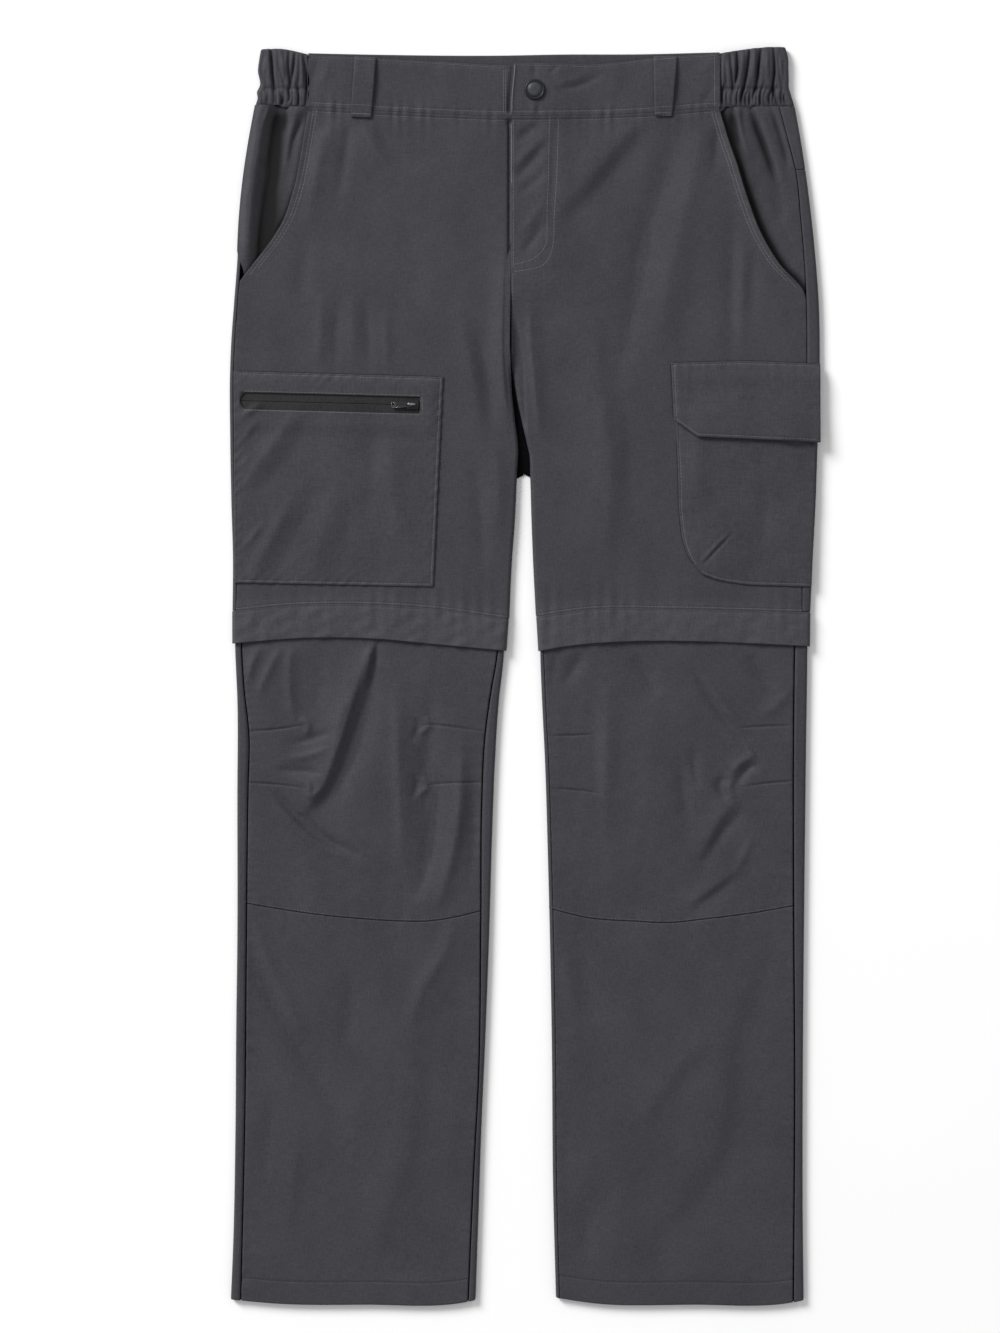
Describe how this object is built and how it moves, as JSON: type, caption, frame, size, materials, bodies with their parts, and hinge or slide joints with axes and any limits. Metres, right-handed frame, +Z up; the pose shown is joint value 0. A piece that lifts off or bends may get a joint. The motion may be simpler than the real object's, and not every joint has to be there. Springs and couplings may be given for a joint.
{
  "type": "convertible zip-off trousers",
  "caption": "Outdoor trousers laid flat: elastic-sided waistband, slant pockets, zipped patch pocket, flapped cargo pocket and lower legs that zip off at the knee",
  "frame": {"origin": "centre of the underside of the bounding box, on the surface the garment lies on", "axes": "+X towards the wearer's left side, +Y from the hems to the waist, +Z up from the surface through the front of the garment"},
  "size_m": [0.5002, 1.0664, 0.0126],
  "materials": {
    "cloth": "dark grey woven nylon, matt with a faint sheen",
    "band_cloth": "the same cloth, slightly lighter",
    "zip_tape": "black woven zip tape",
    "snap": "dark painted press stud",
    "slider": "gunmetal zip slider",
    "pull": "dark painted pull tab"
  },
  "bodies": {
    "garment": {"front_right": "cloth", "front_left": "cloth", "back_right": "cloth", "back_left": "cloth", "back_yoke": "cloth", "hip_pocket_right": "cloth", "hip_pocket_left": "cloth", "waistband_front_right": "cloth", "waistband_front_left": "cloth", "waistband_back": "cloth", "waistband_elastic_right": "cloth", "waistband_elastic_left": "cloth", "belt_loop_right": "cloth", "belt_loop_left": "cloth", "zip_patch_pocket": "cloth", "cargo_pocket_body": "cloth", "cargo_pocket_flap": "cloth", "knee_panel_right": "cloth", "knee_panel_left": "cloth", "shin_panel_right": "cloth", "shin_panel_left": "cloth", "back_lower_right": "cloth", "back_lower_left": "cloth", "knee_flap_right": "band_cloth", "knee_flap_left": "band_cloth", "leg_zip_right": "zip_tape", "leg_zip_left": "zip_tape", "pocket_zip_tape_upper": "zip_tape", "pocket_zip_tape_lower": "zip_tape", "waist_button": "snap", "pocket_zip_slider": "slider"},
    "pull": {"pocket_zip_pull": "pull"}
  },
  "joints": [
    {"name": "pull_hinge", "type": "hinge", "parent": "garment", "child": "pull", "pos_m": [-0.09594, 0.23023, 0.0102], "axis": [0, 1, 0], "range_deg": [0, 165]}
  ]
}
